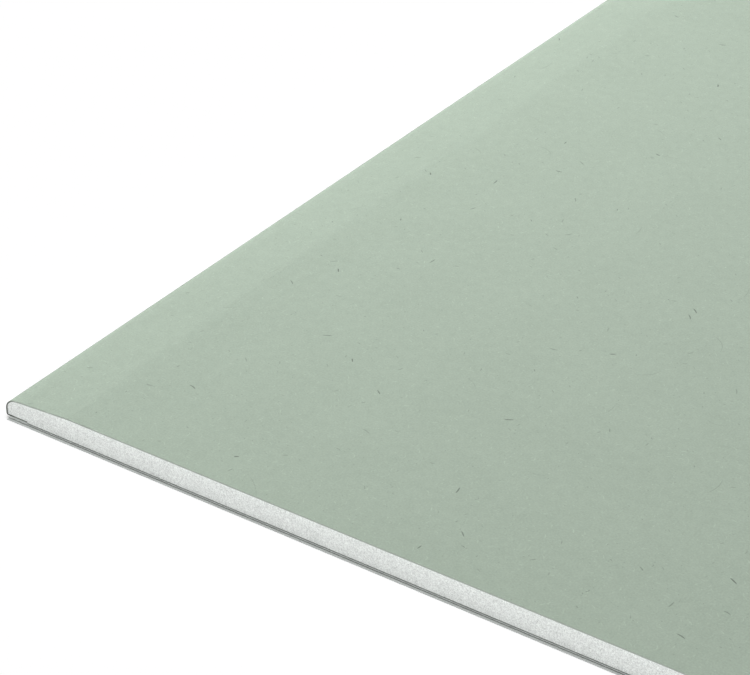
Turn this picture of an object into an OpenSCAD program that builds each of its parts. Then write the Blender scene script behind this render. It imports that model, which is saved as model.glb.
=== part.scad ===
// Moisture-resistant drywall sheet: a gypsum core, a green face paper that wraps both long
// edges and folds under them, and a grey back paper glued over the folds. One end was snapped
// and its back paper cut last, so the outer ply of that paper stands out there as a thin lip.
// The sheet lies flat, face up. X is its width, Y its length and Z its thickness.

/* [Sheet] */
// Width of the sheet, across the two paper-wrapped long edges
board_w = 1200; // [600:10:1250]
// Length of the sheet, its paper lip included
board_l = 2500; // [1200:10:3600]
// Thickness of the sheet away from its tapered edges, papers included
board_t = 12.5; // [9.5:0.5:18]

/* [Long edges] */
// Width of the shallow taper for the joint tape, from the long edge to its crease
taper_w = 37; // [30:1:70]
// How far the face has dropped where the taper reaches the rounding
taper_d = 2.2; // [0.6:0.1:2.8]
// Radius that rounds the face side of the long edge
edge_r = 6; // [3:0.5:7]
// Outside radius where the face paper folds under the long edge
fold_r = 1; // [0.8:0.1:1.4]

/* [Paper] */
// Thickness of the face paper
face_paper_t = 0.7; // [0.3:0.05:0.75]
// Thickness of the back paper
back_paper_t = 1.1; // [0.5:0.05:1.2]
// How far the folded face paper reaches in under the core
flange_w = 12.5; // [8:0.5:30]
// How far the back paper stops short of the long edge
back_setback = 1.75; // [1:0.25:6]

/* [Paper lip] */
// How far the back paper's outer ply stands out past the near cut end
lip_w = 1.9; // [0.5:0.1:4]
// Thickness of that ply
lip_t = 0.35; // [0.15:0.05:0.4]

/* [Hidden] */
$fn = 96;

half_w = board_w / 2;
half_l = board_l / 2;
// The near cut end, behind the paper lip
near_end_y = lip_w - half_l;
// The folds rest on the back paper, so their underside is this high
fold_z = back_paper_t;
// Centre of the fold's radius
fold_x = half_w - fold_r;
fold_mid_z = fold_z + fold_r;
// Height of the face where the taper meets the rounding
taper_low_z = board_t - taper_d;
// The rounding fits between the taper and the fold
round_r = min(edge_r, taper_low_z - fold_mid_z);
// Centre of the rounding
round_x = half_w - round_r;
round_z = taper_low_z - round_r;

// Quarter of a disc about the origin, from start degrees onwards
module quarter_disc(r, start) {
    intersection() {
        circle(r);
        rotate(start) square(2 * r);
    }
}

// Half of the section inside the face paper's outer surface, drawn inset by a thickness
module half_outline(inset) {
    side_x = half_w - inset;
    polygon([
        [0, fold_z + inset],
        [fold_x, fold_z + inset],
        [fold_x, fold_mid_z],
        [side_x, fold_mid_z],
        [side_x, round_z],
        [round_x, round_z],
        [round_x, taper_low_z - inset],
        [half_w - taper_w, board_t - inset],
        [0, board_t - inset]
    ]);
    translate([round_x, round_z]) quarter_disc(round_r - inset, 0);
    translate([fold_x, fold_mid_z]) quarter_disc(fold_r - inset, -90);
}

// Whole section inside the face paper's outer surface, both long edges alike
module outline(inset) {
    half_outline(inset);
    mirror([1, 0]) half_outline(inset);
}

// The strip between the two folds, where the core reaches down to the back paper
module between_folds() {
    translate([flange_w - half_w, fold_z])
        square([board_w - 2 * flange_w, face_paper_t]);
}

// Turns a section drawn in X and Z into a piece from the near cut end to the far one
module along_sheet() {
    translate([0, half_l, 0])
        rotate([90, 0, 0]) linear_extrude(half_l - near_end_y) children();
}

// Foamed gypsum, bare at the two cut ends
module gypsum_core() {
    color([0.90, 0.91, 0.90]) along_sheet() {
        outline(face_paper_t);
        between_folds();
    }
}

// Green face paper, one sheet from fold to fold
module face_paper() {
    color([0.67, 0.74, 0.67]) along_sheet() difference() {
        outline(0);
        outline(face_paper_t);
        between_folds();
    }
}

// Grey back paper, glued to the core and lapped over the two folds, with its lip at the near end
module back_paper() {
    back_w = board_w - 2 * back_setback;
    color([0.55, 0.58, 0.56]) translate([-back_w / 2, 0, 0]) rotate([90, 0, 90])
        linear_extrude(back_w) polygon([
            [-half_l, 0],
            [half_l, 0],
            [half_l, back_paper_t],
            [near_end_y, back_paper_t],
            [near_end_y, lip_t],
            [-half_l, lip_t]
        ]);
}

gypsum_core();
face_paper();
back_paper();
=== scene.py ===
"""The looks of the drywall sheet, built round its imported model: metres, in the sheet's own frame.

X runs across the sheet, Y along it and Z out of the green face. The sheet lies on the floor, face up.
"""

import math

import bmesh
import bpy
import numpy as np
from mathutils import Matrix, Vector


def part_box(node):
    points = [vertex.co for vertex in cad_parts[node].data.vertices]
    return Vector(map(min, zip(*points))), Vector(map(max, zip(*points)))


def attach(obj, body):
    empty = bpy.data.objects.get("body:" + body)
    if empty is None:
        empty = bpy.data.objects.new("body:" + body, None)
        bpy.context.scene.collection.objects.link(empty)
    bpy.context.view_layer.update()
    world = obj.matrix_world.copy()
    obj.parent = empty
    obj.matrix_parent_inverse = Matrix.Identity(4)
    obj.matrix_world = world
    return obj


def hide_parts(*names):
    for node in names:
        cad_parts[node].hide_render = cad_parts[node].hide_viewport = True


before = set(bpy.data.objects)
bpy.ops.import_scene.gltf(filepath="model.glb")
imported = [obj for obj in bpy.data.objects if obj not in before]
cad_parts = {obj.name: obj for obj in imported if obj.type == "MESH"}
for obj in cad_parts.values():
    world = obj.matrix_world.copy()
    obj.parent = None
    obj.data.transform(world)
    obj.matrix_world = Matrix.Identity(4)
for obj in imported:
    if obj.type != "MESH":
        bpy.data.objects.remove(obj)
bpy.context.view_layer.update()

MM = 0.001

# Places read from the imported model
_, paper_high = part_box("face_paper")
core_low, core_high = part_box("gypsum_core")
_, back_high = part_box("back_paper")
HALF_W = round(paper_high.x, 6)
FAR_END_Y = round(core_high.y, 6)
HALF_L = round(back_high.y, 6)
BOARD_T = round(paper_high.z, 6)
PAPER_T = round(paper_high.x - core_high.x, 6)
BACK_T = round(back_high.z, 6)
BACK_HALF_W = round(back_high.x, 6)

# The near cut end lies behind a lip of the back paper's outer ply
NEAR_END_Y = round(core_low.y, 6)
LIP_T = 0.35 * MM

# The long edge's section, as the model has it
TAPER_W = 37 * MM
TAPER_D = 2.2 * MM
EDGE_R = 6 * MM
FOLD_R = 1 * MM
FLANGE_W = 12.5 * MM

# Half the width over which the taper's crease is softened
CREASE_BLEND = 1 * MM

# The taper curves down over its last stretch, and meets the rounding where its normal has this tilt
ROLL_OFF = 10 * MM
MEET_ANGLE = math.radians(81)
ROUND_X = HALF_W - EDGE_R
ROUND_Z = BOARD_T - TAPER_D - EDGE_R
MEET_X = ROUND_X + EDGE_R * math.cos(MEET_ANGLE)
MEET_Z = ROUND_Z + EDGE_R * math.sin(MEET_ANGLE)
MEET_SLOPE = 1 / math.tan(MEET_ANGLE)
ROLL_RUN = ROLL_OFF - HALF_W + MEET_X
TAPER_SLOPE = (BOARD_T - MEET_Z - MEET_SLOPE * ROLL_RUN / 2) / (TAPER_W - ROLL_OFF + ROLL_RUN / 2)

# Where the face paper starts to count as wrapped, from the long edge inwards, and over what width
WRAP_FROM = 0.9 * EDGE_R
WRAP_RUN = 0.45 * EDGE_R

# The cut end of the gypsum: its grid, its depth, the widths of its grain and waves, and their mix
GRAIN_GRID = 0.6 * MM
GRAIN_DEPTH = 0.10 * MM
GRAIN_SIZE = 1 * MM
WAVE_SIZE = 7 * MM
GRAIN_PART = 0.7
NEAR_SEED = 11
FAR_SEED = 12

# Its pores, one to a cell at most: how many cells have one, and its middle and radius in cells
PORE_DEPTH = 0.16 * MM
PORE_CELL = 3.2 * MM
PORE_SHARE = 0.35
PORE_MIDDLES = (0.3, 0.7)
PORE_RADII = (0.12, 0.28)

# Half the width over which the core steps down beside a fold
STEP_HALF = 0.03 * MM

# How far the back paper's edges are chamfered
BACK_EASE = 0.06 * MM

# Steps of each stretch of the section, and rows along the papers
FLAP_STEPS = 8
FOLD_STEPS = 12
ROUND_STEPS = 24
ROLL_STEPS = 10
TAPER_STEPS = 5
CREASE_STEPS = 8
FLAT_STEPS = 23
CORE_ROUND_STEPS = 28
FACE_ROWS = 80
BACK_ROWS = 40

# A turn sharper than this is shaded as an edge
SHARP_ANGLE = math.radians(40)

# Material slots of the papers: their surface, and where they are cut
SURFACE, CUT = 0, 1

# How far the sheet's uneven back keeps it off the floor
FLOOR_GAP = 0.08 * MM

# Camera, fitted to the sheet's edges in the photograph
CORNER = Vector((-HALF_W, NEAR_END_Y, 0))
CAMERA_FROM_CORNER = Vector((0.65805, -0.66137, 0.60888))
CAMERA_TURN = math.radians(34.552)
CAMERA_TILT = math.radians(31.699)
CAMERA_LENS = 116.58
SENSOR_W = 36
CLIP_NEAR = 0.05
CLIP_FAR = 200


def add_camera():
    data = bpy.data.cameras.new("camera")
    data.sensor_fit = "HORIZONTAL"
    data.sensor_width = SENSOR_W
    data.lens = CAMERA_LENS
    data.clip_start = CLIP_NEAR
    data.clip_end = CLIP_FAR
    camera = bpy.data.objects.new("camera", data)
    bpy.context.scene.collection.objects.link(camera)
    camera.location = CORNER + CAMERA_FROM_CORNER
    camera.rotation_euler = (math.pi / 2 - CAMERA_TILT, 0, CAMERA_TURN)
    bpy.context.scene.camera = camera


# The section of the long edge


def arc(centre_x, centre_z, radius, start, end, steps):
    """Points of an arc in the section, from one angle to another, in degrees."""
    angles = np.radians(np.linspace(start, end, steps + 1))
    return [(centre_x + radius * math.cos(a), centre_z + radius * math.sin(a)) for a in angles]


def stretch(start, end, steps):
    """Places from start to end in even steps, without the start."""
    return np.linspace(start, end, steps + 1)[1:]


def top_height(x, inset):
    """Height of the taper and the flat face at a distance x from the middle, less the inset."""
    past = x - (HALF_W - TAPER_W - CREASE_BLEND)
    blended = TAPER_SLOPE * past**2 / (4 * CREASE_BLEND)
    straight = TAPER_SLOPE * (past - CREASE_BLEND)
    drop = np.where(past < 0, 0, np.where(past < 2 * CREASE_BLEND, blended, straight))
    rolled = np.maximum(x - (HALF_W - ROLL_OFF), 0)
    drop = drop + (MEET_SLOPE - TAPER_SLOPE) * rolled**2 / (2 * ROLL_RUN)
    return BOARD_T - inset - drop


def half_section(inset):
    """The face paper's section from the free end of its fold to the middle of the face, inset."""
    flap_x = np.linspace(HALF_W - FLANGE_W, HALF_W - FOLD_R, FLAP_STEPS + 1)[:-1]
    points = [(x, BACK_T + inset) for x in flap_x]
    points += arc(HALF_W - FOLD_R, BACK_T + FOLD_R, FOLD_R - inset, -90, 0, FOLD_STEPS)
    points += arc(ROUND_X, ROUND_Z, EDGE_R - inset, 0, math.degrees(MEET_ANGLE), ROUND_STEPS)
    crease = HALF_W - TAPER_W
    roll_x = stretch(MEET_X, HALF_W - ROLL_OFF, ROLL_STEPS)
    taper_x = stretch(HALF_W - ROLL_OFF, crease + CREASE_BLEND, TAPER_STEPS)
    crease_x = stretch(crease + CREASE_BLEND, crease - CREASE_BLEND, CREASE_STEPS)
    flat_x = stretch(crease - CREASE_BLEND, 0, FLAT_STEPS)
    points += [(x, float(top_height(x, inset))) for x in (*roll_x, *taper_x, *crease_x, *flat_x)]
    return np.array(points)


def whole_section(inset):
    """The section from the free end of one fold, over the face, to the free end of the other."""
    right = half_section(inset)
    left = right[:-1] * (-1, 1)
    return np.concatenate([left, right[::-1]])


# Meshes


def new_piece(name, vertices, faces, slots=None):
    mesh = bpy.data.meshes.new(name)
    mesh.from_pydata(vertices, [], faces)
    if slots is not None:
        mesh.polygons.foreach_set("material_index", np.asarray(slots, np.int32))
    work = bmesh.new()
    work.from_mesh(mesh)
    bmesh.ops.recalc_face_normals(work, faces=work.faces)
    work.to_mesh(mesh)
    work.free()
    mesh.shade_smooth()
    mesh.set_sharp_from_angle(angle=SHARP_ANGLE)
    mesh.validate()
    piece = bpy.data.objects.new(name, mesh)
    bpy.context.scene.collection.objects.link(piece)
    return piece


def add_values(piece, name, values):
    """Gives each point of a piece a value that its material reads."""
    attribute = piece.data.attributes.new(name, "FLOAT", "POINT")
    attribute.data.foreach_set("value", values)


def loop_faces(first, second):
    """Quads between two closed rings of vertex numbers."""
    return [
        (first[i], first[(i + 1) % len(first)], second[(i + 1) % len(first)], second[i])
        for i in range(len(first))
    ]


def make_face_paper():
    """The green paper: one sheet that wraps both long edges, swept along the board."""
    outer, inner = whole_section(0), whole_section(PAPER_T)
    ring = np.concatenate([outer, inner[::-1]])
    count, total = len(outer), len(ring)
    rows = np.linspace(NEAR_END_Y, FAR_END_Y, FACE_ROWS + 1)
    vertices = np.array([(x, y, z) for y in rows for x, z in ring])
    faces, slots = [], []
    for start in range(0, FACE_ROWS * total, total):
        faces += loop_faces(range(start, start + total), range(start + total, start + 2 * total))
        slots += [SURFACE if i < count - 1 else CUT for i in range(total)]
    for start in (0, FACE_ROWS * total):
        for i in range(count - 1):
            across = start + total - 1 - i
            faces.append((start + i, start + i + 1, across - 1, across))
            slots.append(CUT)
    piece = new_piece("face_paper_sheet", vertices.tolist(), faces, slots)
    steps = np.linalg.norm(np.diff(outer, axis=0), axis=1)
    girth = np.concatenate([[0], np.cumsum(steps)])
    girth -= girth[count // 2]
    depth = np.concatenate([np.zeros(count), np.ones(count)])
    wrap_from = HALF_W - WRAP_FROM
    wrapped = np.clip((np.abs(ring[:, 0]) - wrap_from) / WRAP_RUN, 0, 1)
    add_values(piece, "girth", np.tile(np.concatenate([girth, girth[::-1]]), len(rows)))
    add_values(piece, "ply", np.tile(depth, len(rows)))
    add_values(piece, "wrap", np.tile(wrapped, len(rows)))
    return piece


def value_noise(x, z, cell, rng):
    """A smooth random field from -1 to 1 with features about a cell wide."""
    u, v = (x - x.min()) / cell, (z - z.min()) / cell
    table = rng.uniform(-1, 1, (int(u.max()) + 2, int(v.max()) + 2))
    i, j = u.astype(int), v.astype(int)
    fu, fv = u - i, v - j
    fu, fv = fu * fu * (3 - 2 * fu), fv * fv * (3 - 2 * fv)
    low = table[i, j] * (1 - fu) + table[i + 1, j] * fu
    high = table[i, j + 1] * (1 - fu) + table[i + 1, j + 1] * fu
    return low * (1 - fv) + high * fv


def pore_field(x, z, rng):
    """Round hollows from 0 to 1 deep, at most one to a cell and wholly inside it."""
    u, v = (x - x.min()) / PORE_CELL, (z - z.min()) / PORE_CELL
    shape = (int(u.max()) + 1, int(v.max()) + 1)
    middle_u, middle_v = rng.uniform(*PORE_MIDDLES, shape), rng.uniform(*PORE_MIDDLES, shape)
    radius = rng.uniform(*PORE_RADII, shape)
    present = rng.random(shape) < PORE_SHARE
    i, j = u.astype(int), v.astype(int)
    away = np.hypot(u - i - middle_u[i, j], v - j - middle_v[i, j]) / radius[i, j]
    return np.clip(1 - away**2, 0, 1) * present[i, j]


def end_relief(x, z, seed):
    """How deep the grain, the waves and the pores leave a cut end of the gypsum."""
    rng = np.random.default_rng(seed)
    grain = 0.5 + 0.5 * value_noise(x, z, GRAIN_SIZE, rng)
    wave = 0.5 + 0.5 * value_noise(x, z, WAVE_SIZE, rng)
    rough = GRAIN_PART * grain + (1 - GRAIN_PART) * wave
    return GRAIN_DEPTH * rough + PORE_DEPTH * pore_field(x, z, rng)


def core_columns():
    """Across one half of the core: each column's x, and the height of its bottom and its top."""
    inner_r = EDGE_R - PAPER_T
    fold_inner_r = FOLD_R - PAPER_T
    fold_x, fold_mid_z = HALF_W - FOLD_R, BACK_T + FOLD_R
    step_x = HALF_W - FLANGE_W
    flat = np.linspace(0, step_x - STEP_HALF, round(step_x / GRAIN_GRID))
    over_fold = np.linspace(step_x + STEP_HALF, ROUND_X, round((ROUND_X - step_x) / GRAIN_GRID) + 1)
    rounded = ROUND_X + inner_r * np.sin(np.radians(stretch(0, 90, CORE_ROUND_STEPS)))
    x = np.concatenate([flat, over_fold, rounded])
    past_round = np.clip(x - ROUND_X, 0, inner_r)
    top = np.minimum(ROUND_Z + np.sqrt(inner_r**2 - past_round**2), top_height(x, PAPER_T))
    top = np.where(x > ROUND_X, top, top_height(x, PAPER_T))
    past_fold = np.clip(x - fold_x, 0, fold_inner_r)
    bottom = np.where(x > step_x, fold_mid_z - np.sqrt(fold_inner_r**2 - past_fold**2), BACK_T)
    return x, bottom, top


def make_core():
    """The gypsum, with the grain and pores of its two cut ends as relief."""
    x, bottom, top = core_columns()
    x = np.concatenate([-x[:0:-1], x])
    bottom = np.concatenate([bottom[:0:-1], bottom])
    top = np.concatenate([top[:0:-1], top])
    levels = np.linspace(0, 1, round((BOARD_T - BACK_T - PAPER_T) / GRAIN_GRID) + 1)
    grid_x = np.repeat(x[:, None], len(levels), 1)
    grid_z = bottom[:, None] + (top - bottom)[:, None] * levels
    edge = np.minimum(levels, 1 - levels)[None, :] * (top - bottom)[:, None]
    edge = np.minimum(edge, HALF_W - PAPER_T - np.abs(grid_x))
    inside = np.clip(edge / GRAIN_GRID, 0, 1)
    vertices, rims, faces = [], [], []
    for end_y, inward, seed in ((NEAR_END_Y, 1, NEAR_SEED), (FAR_END_Y, -1, FAR_SEED)):
        grid_y = end_y + inward * end_relief(grid_x, grid_z, seed) * inside
        start = len(vertices)
        vertices += np.stack([grid_x, grid_y, grid_z], 2).reshape(-1, 3).tolist()
        number = start + np.arange(grid_x.size).reshape(grid_x.shape)
        corners = (number[:-1, :-1], number[1:, :-1], number[1:, 1:], number[:-1, 1:])
        faces += np.stack(corners, 2).reshape(-1, 4).tolist()
        rim = (number[:-1, 0], number[-1, :-1], number[:0:-1, -1], number[0, :0:-1])
        rims.append(np.concatenate(rim).tolist())
    faces += loop_faces(*rims)
    return new_piece("gypsum_slab", vertices, faces)


def back_ring(top, pull):
    """The back paper's section with chamfered edges, drawn in by a pull on every side."""
    wide, low, high = BACK_HALF_W - pull, pull, top - pull
    half = [(wide - BACK_EASE, low), (wide, low + BACK_EASE)]
    half += [(wide, high - BACK_EASE), (wide - BACK_EASE, high)]
    return half + [(-x, z) for x, z in half[::-1]]


def make_back_paper():
    """The grey paper under the sheet, its outer ply standing out as a lip at the near end."""
    sections = [(-HALF_L, LIP_T), (-HALF_L + BACK_EASE, LIP_T), (NEAR_END_Y, LIP_T)]
    step_at = len(sections) - 1
    sections += [(y, BACK_T) for y in np.linspace(NEAR_END_Y, FAR_END_Y, BACK_ROWS + 1)]
    vertices, faces, slots = [], [], []
    for k, (y, top) in enumerate(sections):
        ring = back_ring(top, BACK_EASE if k == 0 else 0)
        vertices += [(x, y, z) for x, z in ring]
    total = len(ring)
    for k in range(len(sections) - 1):
        start = k * total
        faces += loop_faces(range(start, start + total), range(start + total, start + 2 * total))
        upper = CUT if k == step_at else SURFACE
        slots += [CUT, CUT, CUT, upper, CUT, CUT, CUT, SURFACE]
    last = len(vertices) - total
    faces += [tuple(range(total)), tuple(range(last, last + total))]
    slots += [CUT, CUT]
    return new_piece("back_paper_sheet", vertices, faces, slots)


# Materials: small helpers, then one function a material


def add(tree, kind, inputs=None, **settings):
    node = tree.nodes.new(kind)
    for key, value in settings.items():
        setattr(node, key, value)
    for key, value in (inputs or {}).items():
        if isinstance(value, bpy.types.NodeSocket):
            tree.links.new(value, node.inputs[key])
        else:
            node.inputs[key].default_value = value
    return node


def maths(tree, operation, *values):
    return add(tree, "ShaderNodeMath", dict(enumerate(values)), operation=operation).outputs[0]


def remap(tree, value, low, high, to_low=0.0, to_high=1.0, smooth=False):
    inputs = {"Value": value, "From Min": low, "From Max": high, "To Min": to_low, "To Max": to_high}
    kind = "SMOOTHSTEP" if smooth else "LINEAR"
    return add(tree, "ShaderNodeMapRange", inputs, interpolation_type=kind).outputs["Result"]


def beyond(tree, value, limit, blur):
    """0 where a value in millimetres is short of a limit in metres, 1 beyond it, with a blur between."""
    return remap(tree, value, (limit - blur) / MM, (limit + blur) / MM, smooth=True)


def scaled(tree, vector, factor):
    inputs = {0: vector, "Scale": factor}
    return add(tree, "ShaderNodeVectorMath", inputs, operation="SCALE").outputs[0]


def place_in_mm(tree):
    """Where a point is on the sheet, in millimetres."""
    place = add(tree, "ShaderNodeTexCoord").outputs["Object"]
    return scaled(tree, place, 1 / MM)


def noise(tree, place, size, detail=2.0, roughness=0.5):
    """A cloudy value about 0.5, with features about size millimetres wide."""
    inputs = {"Vector": place, "Scale": 1 / size, "Detail": detail, "Roughness": roughness}
    return add(tree, "ShaderNodeTexNoise", inputs).outputs["Fac"]


# How far each layer of fibres is shifted from the one before, in millimetres
FIBRE_SHIFT = (7.3, 3.1)

# The shortest and the faintest fibre, as shares of the longest and the darkest
FIBRE_SHORTEST = 0.45
FIBRE_FAINTEST = 0.35

# A fibre is full up to this share of its squared radius, and fades out from there
FIBRE_FULL = 0.3


def fibres(tree, place, cell, half_length, half_width, share, curl=0.0, seed=0):
    """A mask of scattered fibres, at most one to a cell: each has its own turn, length and curl."""
    shift = (seed * FIBRE_SHIFT[0], seed * FIBRE_SHIFT[1], 0)
    shifted = add(tree, "ShaderNodeVectorMath", {0: place, 1: shift}, operation="ADD")
    small = scaled(tree, shifted.outputs[0], 1 / cell)
    cells = add(tree, "ShaderNodeTexVoronoi", {"Vector": small, "Scale": 1.0}, voronoi_dimensions="2D")
    middle = cells.outputs["Position"]
    luck = add(tree, "ShaderNodeTexWhiteNoise", {"Vector": middle}, noise_dimensions="2D")
    chance = add(tree, "ShaderNodeSeparateColor", {"Color": luck.outputs["Color"]})
    turn, reach, strength = chance.outputs
    away = add(tree, "ShaderNodeVectorMath", {0: small, 1: middle}, operation="SUBTRACT").outputs[0]
    angle = maths(tree, "MULTIPLY", turn, math.tau)
    turned = add(tree, "ShaderNodeVectorRotate", {"Vector": away, "Angle": angle}, rotation_type="Z_AXIS")
    along, across, _ = add(tree, "ShaderNodeSeparateXYZ", {0: turned.outputs[0]}).outputs
    bend = maths(tree, "MULTIPLY", maths(tree, "SUBTRACT", luck.outputs["Value"], 0.5), 2 * curl)
    bent = maths(tree, "MULTIPLY", maths(tree, "MULTIPLY", along, along), bend)
    across = maths(tree, "SUBTRACT", across, bent)
    longest = half_length / cell
    length = remap(tree, reach, 0, 1, FIBRE_SHORTEST * longest, longest)
    u = maths(tree, "DIVIDE", along, length)
    v = maths(tree, "DIVIDE", across, half_width / cell)
    distance = maths(tree, "ADD", maths(tree, "MULTIPLY", u, u), maths(tree, "MULTIPLY", v, v))
    shape = remap(tree, distance, 1, FIBRE_FULL, smooth=True)
    opacity = remap(tree, strength, 0, share, 1, FIBRE_FAINTEST)
    present = maths(tree, "LESS_THAN", strength, share)
    return maths(tree, "MULTIPLY", maths(tree, "MULTIPLY", shape, opacity), present)


def new_material(name, roughness, specular):
    material = bpy.data.materials.new(name)
    material.use_nodes = True
    tree = material.node_tree
    shader = tree.nodes["Principled BSDF"]
    shader.inputs["Roughness"].default_value = roughness
    shader.inputs["Specular IOR Level"].default_value = specular
    return material, tree, shader


def bump(tree, shader, height, distance):
    inputs = {"Height": height, "Distance": distance, "Strength": 1}
    normal = add(tree, "ShaderNodeBump", inputs).outputs["Normal"]
    tree.links.new(normal, shader.inputs["Normal"])


# The range that a cloudy value mostly keeps to
CLOUDY_RANGE = (0.25, 0.75)


def swing(tree, cloudy, amount):
    """A cloudy value as a swing about 0, by an amount each way."""
    return remap(tree, cloudy, *CLOUDY_RANGE, -amount, amount)


def varied(tree, parts):
    """1 plus the swing of each pair of a cloudy value and an amount."""
    total = 1.0
    for cloudy, amount in parts:
        total = maths(tree, "ADD", swing(tree, cloudy, amount), total)
    return total


def mixed(tree, mask, first, second):
    """The first colour where the mask is 0, the second where it is 1."""
    colours = [(*colour, 1) if isinstance(colour, tuple) else colour for colour in (first, second)]
    inputs = {0: mask, 6: colours[0], 7: colours[1]}
    return add(tree, "ShaderNodeMix", inputs, data_type="RGBA").outputs[2]


def darkened(tree, factor, mask, amount):
    """The factor, lowered by the amount where the mask is 1."""
    return maths(tree, "MULTIPLY", factor, remap(tree, mask, 0, 1, 1, 1 - amount))


# Colours of the face paper, the back paper's surface and plies, and the gypsum
FACE_GREEN = (0.431, 0.519, 0.428)
FACE_CUT = (0.385, 0.432, 0.387)
LINER_GREY = (0.55, 0.573, 0.555)
LINER_DUST = (0.88, 0.91, 0.89)
# The lip's painted shadow
LINER_LIP_SHADOW = (0.24, 0.255, 0.245)
LINER_TORN = (0.65, 0.676, 0.657)
LINER_RIM = (0.50, 0.52, 0.506)
LINER_PLY = (0.85, 0.88, 0.86)
LINER_LAP = (0.60, 0.63, 0.607)
LINER_CUT = (0.13, 0.145, 0.135)
GYPSUM_WHITE = (0.795, 0.825, 0.803)

# How much painted shade darkens the face paper over the rounding, holding back the side lamps' light
# there
ROUND_PAINTED_SHADE = 0.30

# How far the face paper's ribs and its large fibres stand out, against its nap
RIB_RELIEF = 1.5
FIBRE_RELIEF = 0.8


def green_paper():
    """Recycled paper in pale green: cloudy, finely grained, with dark and pale fibres."""
    material, tree, shader = new_material("green_face_paper", roughness=0.86, specular=0.3)
    girth = add(tree, "ShaderNodeAttribute", attribute_name="girth").outputs["Fac"]
    along = add(tree, "ShaderNodeSeparateXYZ", {0: place_in_mm(tree)}).outputs["Y"]
    across = maths(tree, "DIVIDE", girth, MM)
    place = add(tree, "ShaderNodeCombineXYZ", {"X": across, "Y": along}).outputs[0]
    clouds = noise(tree, place, size=34)
    mottle = noise(tree, place, size=5)
    grain = noise(tree, place, size=0.9, roughness=0.6)
    tone = varied(tree, [(clouds, 0.016), (mottle, 0.034), (grain, 0.092)])
    large = fibres(tree, place, cell=15, half_length=3, half_width=0.42, share=0.10, curl=1.2, seed=1)
    medium = fibres(tree, place, cell=7, half_length=1.7, half_width=0.30, share=0.09, curl=1.5, seed=2)
    specks = fibres(tree, place, cell=3.4, half_length=0.65, half_width=0.26, share=0.14, seed=3)
    hairs = fibres(tree, place, cell=40, half_length=9, half_width=0.24, share=0.35, curl=2.5, seed=4)
    pale = fibres(tree, place, cell=5.5, half_length=2.1, half_width=0.26, share=0.45, curl=1.5, seed=5)
    flecks = fibres(tree, place, cell=3, half_length=0.6, half_width=0.30, share=0.25, seed=8)
    masks = ((large, 0.60), (medium, 0.38), (specks, 0.28), (hairs, 0.22), (pale, -0.17), (flecks, -0.16))
    for mask, amount in masks:
        tone = darkened(tree, tone, mask, amount)
    # Painted shade over the rounding, deepening as the paper wraps the edge
    wrap = add(tree, "ShaderNodeAttribute", attribute_name="wrap").outputs["Fac"]
    rounding_shade = maths(tree, "MULTIPLY", wrap, wrap)
    tone = darkened(tree, tone, rounding_shade, ROUND_PAINTED_SHADE)
    colour = scaled(tree, FACE_GREEN, tone)
    tree.links.new(colour, shader.inputs["Base Color"])
    nap = noise(tree, place, size=0.45, detail=3, roughness=0.65)
    ribs = noise(tree, place, size=2.2)
    height = maths(tree, "ADD", nap, maths(tree, "MULTIPLY", ribs, RIB_RELIEF))
    height = maths(tree, "ADD", height, maths(tree, "MULTIPLY", large, FIBRE_RELIEF))
    bump(tree, shader, height, distance=0.03 * MM)
    return material


# Heights at the cut: glue darkens the fold from the first up, and the back paper between the others
FOLD_DARK_Z = BACK_T + 0.10 * MM
BACK_DARK_Z = 0.50 * MM
BACK_GLUE_Z = BACK_T - 0.10 * MM
PLY_BLUR = 0.05 * MM

# The cut face paper's tone at its outside and next to the core, on the wrapped side, and in the glue
PLY_TONES = (0.92, 1.06)
WRAP_TONE = 0.32
GLUE_TONE = 0.30


def cut_face_paper():
    """The green paper where it is cut: dark fibrous plies, grey towards the core."""
    material, tree, shader = new_material("cut_face_paper", roughness=0.92, specular=0.2)
    place = place_in_mm(tree)
    ply = add(tree, "ShaderNodeAttribute", attribute_name="ply").outputs["Fac"]
    grain = noise(tree, place, size=0.35, roughness=0.6)
    runs = noise(tree, place, size=1.6)
    tone = varied(tree, [(grain, 0.12), (runs, 0.08)])
    wrap = add(tree, "ShaderNodeAttribute", attribute_name="wrap").outputs["Fac"]
    tone = maths(tree, "MULTIPLY", tone, remap(tree, ply, 0, 1, *PLY_TONES))
    tone = maths(tree, "MULTIPLY", tone, remap(tree, wrap, 0, 1, 1, WRAP_TONE))
    height = add(tree, "ShaderNodeSeparateXYZ", {0: place}).outputs["Z"]
    folded = maths(tree, "LESS_THAN", height, (BACK_T + FOLD_R) / MM)
    glued = maths(tree, "MULTIPLY", folded, beyond(tree, height, FOLD_DARK_Z, PLY_BLUR))
    tone = darkened(tree, tone, glued, 1 - GLUE_TONE)
    tree.links.new(scaled(tree, FACE_CUT, tone), shader.inputs["Base Color"])
    bump(tree, shader, grain, distance=0.05 * MM)
    return material


# How far out on the lip the dust and the painted shadow reach, and how ragged and soft their ends are
LIP_DUST = 0.40 * MM
LIP_SHADOW_END = 0.86 * MM
LIP_RAG = 0.06 * MM
LIP_BLUR = 0.08 * MM

# The torn ply's tone where the painted shadow ends, raised there as painted light, and at the lip's edge
LIP_PAINTED_RAMP = (1.07, 0.94)


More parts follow.
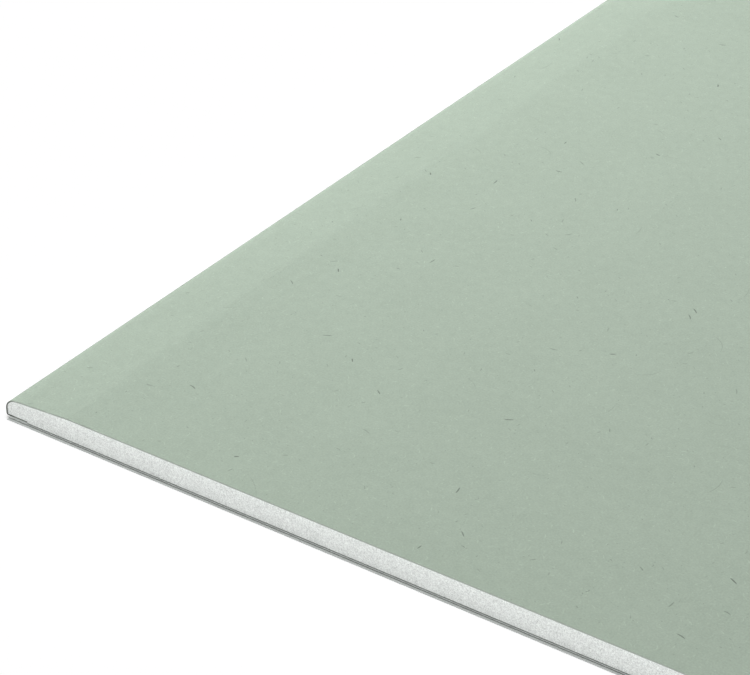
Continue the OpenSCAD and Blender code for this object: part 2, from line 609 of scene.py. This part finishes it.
def lip_colour(tree, place, along):
    """The top of the lip: dusty next to the board, then a painted shadow of the board's end, then the
    torn outer ply.
    """
    rag = swing(tree, noise(tree, place, size=2.5), LIP_RAG / MM)
    past_end = maths(tree, "SUBTRACT", NEAR_END_Y / MM, maths(tree, "ADD", along, rag))
    undusted = beyond(tree, past_end, LIP_DUST, PLY_BLUR)
    torn = beyond(tree, past_end, LIP_SHADOW_END, LIP_BLUR)
    # Painted shadow of the board's end across the lip, between the dust and the torn ply
    colour = mixed(tree, torn, mixed(tree, undusted, LINER_DUST, LINER_LIP_SHADOW), LINER_TORN)
    lip_w = (NEAR_END_Y + HALF_L) / MM
    # Painted light on the torn ply next to the shadow, falling off towards the lip's edge
    return scaled(tree, colour, remap(tree, past_end, LIP_SHADOW_END / MM, lip_w, *LIP_PAINTED_RAMP))


def grey_paper():
    """Unbleached grey recycled paper with dark and pale fibres, and the lip's colours on the lip."""
    material, tree, shader = new_material("grey_back_paper", roughness=0.9, specular=0.25)
    place = place_in_mm(tree)
    clouds = noise(tree, place, size=26)
    mottle = noise(tree, place, size=3.5)
    grain = noise(tree, place, size=0.8, roughness=0.6)
    tone = varied(tree, [(clouds, 0.03), (mottle, 0.03), (grain, 0.05)])
    dark = fibres(tree, place, cell=6, half_length=1.6, half_width=0.26, share=0.4, curl=1.5, seed=6)
    pale = fibres(tree, place, cell=5, half_length=2, half_width=0.24, share=0.5, curl=1.5, seed=7)
    for mask, amount in ((dark, 0.35), (pale, -0.16)):
        tone = darkened(tree, tone, mask, amount)
    _, along, height = add(tree, "ShaderNodeSeparateXYZ", {0: place}).outputs
    before_end = maths(tree, "GREATER_THAN", NEAR_END_Y / MM, along)
    on_top = maths(tree, "GREATER_THAN", height, 0.5 * LIP_T / MM)
    on_lip = maths(tree, "MULTIPLY", before_end, on_top)
    colour = scaled(tree, mixed(tree, on_lip, LINER_GREY, lip_colour(tree, place, along)), tone)
    tree.links.new(colour, shader.inputs["Base Color"])
    nap = noise(tree, place, size=0.5, detail=3, roughness=0.65)
    bump(tree, shader, nap, distance=0.04 * MM)
    return material


def cut_back_paper():
    """The grey paper where it is cut: its outer ply, and between the folds a pale and a glued one."""
    material, tree, shader = new_material("cut_back_paper", roughness=0.92, specular=0.2)
    place = place_in_mm(tree)
    across, _, height = add(tree, "ShaderNodeSeparateXYZ", {0: place}).outputs
    outer = maths(tree, "LESS_THAN", height, LIP_T / MM)
    glued = beyond(tree, height, BACK_DARK_Z, PLY_BLUR)
    topmost = beyond(tree, height, BACK_GLUE_Z, PLY_BLUR)
    plies = mixed(tree, topmost, mixed(tree, glued, LINER_PLY, LINER_CUT), LINER_LAP)
    between_folds = maths(tree, "LESS_THAN", maths(tree, "ABSOLUTE", across), (HALF_W - FLANGE_W) / MM)
    inner = mixed(tree, between_folds, LINER_LAP, plies)
    grain = noise(tree, place, size=0.35, roughness=0.6)
    runs = noise(tree, place, size=1.8)
    tone = varied(tree, [(grain, 0.12), (runs, 0.10)])
    colour = scaled(tree, mixed(tree, outer, inner, LINER_RIM), tone)
    tree.links.new(colour, shader.inputs["Base Color"])
    bump(tree, shader, grain, distance=0.05 * MM)
    return material


# How far from the wall the cut core is darkened, how far it is so fully, and how much
WALL_RIM = 0.60 * MM
WALL_RIM_DARK = 0.20 * MM
WALL_SHADE = 0.75

# Painted shade and light on the cut core: its tone at its bottom and its top, darker below and lighter
# above
CORE_SHADE_AND_LIGHT = (0.91, 1.06)

# Its smallest pores: their cell in millimetres, how many cells have one, its radii, and how dark
SPECK_CELL = 1.7
SPECK_SHARE = 0.4
SPECK_RADII = (0.2, 0.08)
SPECK_SHADE = 0.25

# How far the cut core's finest grain stands out, against its grain
FINE_RELIEF = 0.5


def cut_gypsum():
    """Foamed gypsum where it is cut: off-white, finely grained, with small dark pores."""
    material, tree, shader = new_material("cut_gypsum", roughness=0.95, specular=0.2)
    place = place_in_mm(tree)
    blotches = noise(tree, place, size=6)
    grain = noise(tree, place, size=0.9, detail=3, roughness=0.7)
    fine = noise(tree, place, size=0.45, roughness=0.6)
    tone = varied(tree, [(blotches, 0.036), (grain, 0.12), (fine, 0.22)])
    across, _, height = add(tree, "ShaderNodeSeparateXYZ", {0: place}).outputs
    # Painted shade towards the core's bottom and painted light towards its top
    tone = maths(tree, "MULTIPLY", tone, remap(tree, height, BACK_T / MM, BOARD_T / MM, *CORE_SHADE_AND_LIGHT))
    cells = {"Vector": scaled(tree, place, 1 / SPECK_CELL), "Scale": 1.0}
    pore = add(tree, "ShaderNodeTexVoronoi", cells)
    chance = add(tree, "ShaderNodeSeparateColor", {"Color": pore.outputs["Color"]}).outputs[0]
    hole = remap(tree, pore.outputs["Distance"], *SPECK_RADII, smooth=True)
    hole = maths(tree, "MULTIPLY", hole, maths(tree, "LESS_THAN", chance, SPECK_SHARE))
    tone = darkened(tree, tone, hole, SPECK_SHADE)
    from_wall = maths(tree, "SUBTRACT", (HALF_W - PAPER_T) / MM, maths(tree, "ABSOLUTE", across))
    rim = remap(tree, from_wall, WALL_RIM / MM, WALL_RIM_DARK / MM, smooth=True)
    tone = darkened(tree, tone, rim, WALL_SHADE)
    tree.links.new(scaled(tree, GYPSUM_WHITE, tone), shader.inputs["Base Color"])
    height = maths(tree, "ADD", grain, maths(tree, "MULTIPLY", fine, FINE_RELIEF))
    height = maths(tree, "SUBTRACT", height, hole)
    bump(tree, shader, height, distance=0.12 * MM)
    return material


# Stage: floor, world and lamps


def seen_straight(tree):
    """1 for rays from the camera, and for those that gloss or glass sends on."""
    path = add(tree, "ShaderNodeLightPath").outputs
    either = maths(tree, "MAXIMUM", path["Is Camera Ray"], path["Is Glossy Ray"])
    return maths(tree, "MAXIMUM", either, path["Is Transmission Ray"])


# The floor: its size, its colour, and the glow that only the camera sees
FLOOR_SIZE = 60
FLOOR_WHITE = 0.88
FLOOR_LIFT = 0.25


def add_floor():
    bpy.ops.mesh.primitive_plane_add(size=FLOOR_SIZE, location=(0, 0, -FLOOR_GAP))
    floor = bpy.context.object
    floor.name = "floor"
    material = bpy.data.materials.new("pale_floor")
    material.use_nodes = True
    tree = material.node_tree
    tree.nodes.clear()
    matt = add(tree, "ShaderNodeBsdfDiffuse", {"Color": (FLOOR_WHITE,) * 3 + (1,)}).outputs[0]
    lift = maths(tree, "MULTIPLY", seen_straight(tree), FLOOR_LIFT)
    glow = add(tree, "ShaderNodeEmission", {"Strength": lift}).outputs[0]
    both = add(tree, "ShaderNodeAddShader", {0: matt, 1: glow}).outputs[0]
    add(tree, "ShaderNodeOutputMaterial", {"Surface": both})
    floor.data.materials.append(material)
    return floor


# Strength of the world's light, which looks white to the camera
WORLD_LIGHT = 0.14


def add_world():
    world = bpy.data.worlds.new("studio")
    bpy.context.scene.world = world
    world.use_nodes = True
    tree = world.node_tree
    strength = remap(tree, seen_straight(tree), 0, 1, WORLD_LIGHT, 1.0)
    tree.links.new(strength, tree.nodes["Background"].inputs["Strength"])
    tree.nodes["Background"].inputs["Color"].default_value = (1, 1, 1, 1)


def add_lamp(kind, name, **settings):
    data = bpy.data.lights.new(name, kind)
    for key, value in settings.items():
        setattr(data, key, value)
    lamp = bpy.data.objects.new(name, data)
    bpy.context.scene.collection.objects.link(lamp)
    lamp.visible_camera = False
    return lamp


def aim(lamp, place, target):
    lamp.location = place
    lamp.rotation_mode = "QUATERNION"
    lamp.rotation_quaternion = (Vector(target) - Vector(place)).to_track_quat("-Z", "Y")


def light_only(lamp, objects):
    """Lets a lamp light these objects alone."""
    group = bpy.data.collections.new(lamp.name + "_lights")
    for item in objects:
        group.objects.link(item)
    lamp.light_linking.receiver_collection = group


# Share of the light on a level surface that each lamp gives
TOP_SHARE = 0.195
FLOOR_SKY_SHARE = 0.52
LOW_SHARE = 0.108
LEFT_SHARE = 0.38
RIGHT_SHARE = 0.235
FAR_SHARE = 0.15
FRONT_SHARE = 0.0545
BACK_SHARE = 0.05

# The overhead light leans a little from behind, so the sheet's end shades its own lip
TOP_LEAN = math.radians(4.4)

# How wide the two distant lamps look from the sheet
TOP_SPREAD = math.radians(1.2)
FLOOR_SKY_SPREAD = math.radians(60)

# The softboxes over the face: where they hang, what they aim at, and their size
SEEN_PART = CORNER + Vector((0.15, 0.25, BOARD_T))
LEFT_PLACE = CORNER + Vector((-0.685, 0.582, 0.912))
LEFT_SIZE = (0.5, 0.4)
RIGHT_PLACE = (1.25, 1.15, 1.2)
RIGHT_TARGET = (0.35, 0.8, BOARD_T)
RIGHT_SIZE = (0.9, 0.7)
FAR_PLACE = (-0.1, 2.1, 1.1)
FAR_TARGET = (0.1, 0.8, BOARD_T)
FAR_SIZE = (0.8, 0.7)

# The low softbox on the left, and the two that face the cut ends: tilt, distance and size
LOW_TILT = math.radians(15)
LOW_DISTANCE = 8
LOW_SIZE = (1.1, 1.1)
END_TILT = math.radians(7)
END_DISTANCE = 10
END_SIZE = (1.7, 1.7)


def add_sun(name, share, towards, spread, receivers=None):
    """A distant lamp in a direction from the sheet, giving a share of a level surface's light."""
    towards = Vector(towards).normalized()
    lamp = add_lamp("SUN", name, energy=math.pi * share / towards.z, angle=spread)
    aim(lamp, towards, (0, 0, 0))
    if receivers:
        light_only(lamp, receivers)


def add_softbox(name, share, place, target, size, receivers):
    """A rectangular lamp that gives a share of a level surface's light at its target."""
    place, target = Vector(place), Vector(target)
    ray = place - target
    level = ray.normalized().z
    power = share * math.pi**2 * ray.length_squared / level
    lamp = add_lamp("AREA", name, shape="RECTANGLE", size=size[0], size_y=size[1], energy=power)
    aim(lamp, place, target)
    light_only(lamp, receivers)


def add_end_softbox(name, share, end_y, side, pieces):
    """A softbox that faces one cut end, from a little above it."""
    end = Vector((0, end_y, 0.5 * BOARD_T))
    away = Vector((0, side * math.cos(END_TILT), math.sin(END_TILT)))
    add_softbox(name, share, end + END_DISTANCE * away, end, END_SIZE, pieces)


def add_lamps(pieces, floor):
    overhead = (0, math.sin(TOP_LEAN), math.cos(TOP_LEAN))
    add_sun("top_light", TOP_SHARE, overhead, TOP_SPREAD)
    add_sun("floor_sky", FLOOR_SKY_SHARE, (0, 0, 1), FLOOR_SKY_SPREAD, [floor])
    add_softbox("left_softbox", LEFT_SHARE, LEFT_PLACE, SEEN_PART, LEFT_SIZE, pieces)
    add_softbox("right_softbox", RIGHT_SHARE, RIGHT_PLACE, RIGHT_TARGET, RIGHT_SIZE, pieces)
    add_softbox("far_softbox", FAR_SHARE, FAR_PLACE, FAR_TARGET, FAR_SIZE, pieces)
    low = SEEN_PART + LOW_DISTANCE * Vector((-math.cos(LOW_TILT), 0, math.sin(LOW_TILT)))
    add_softbox("low_softbox", LOW_SHARE, low, SEEN_PART, LOW_SIZE, pieces)
    add_end_softbox("front_softbox", FRONT_SHARE, NEAR_END_Y, -1, pieces)
    add_end_softbox("back_softbox", BACK_SHARE, FAR_END_Y, 1, pieces)


add_camera()

face = make_face_paper()
for make in (green_paper, cut_face_paper):
    face.data.materials.append(make())
core = make_core()
core.data.materials.append(cut_gypsum())
back = make_back_paper()
for make in (grey_paper, cut_back_paper):
    back.data.materials.append(make())

dressed = (
    (face, "face_paper", "face_liner"),
    (core, "gypsum_core", "gypsum"),
    (back, "back_paper", "back_liner"),
)
for piece, node, slot in dressed:
    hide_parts(node)
    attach(piece, "root")

floor = add_floor()
add_world()
add_lamps([face, core, back], floor)
bpy.context.scene.view_settings.view_transform = "Standard"
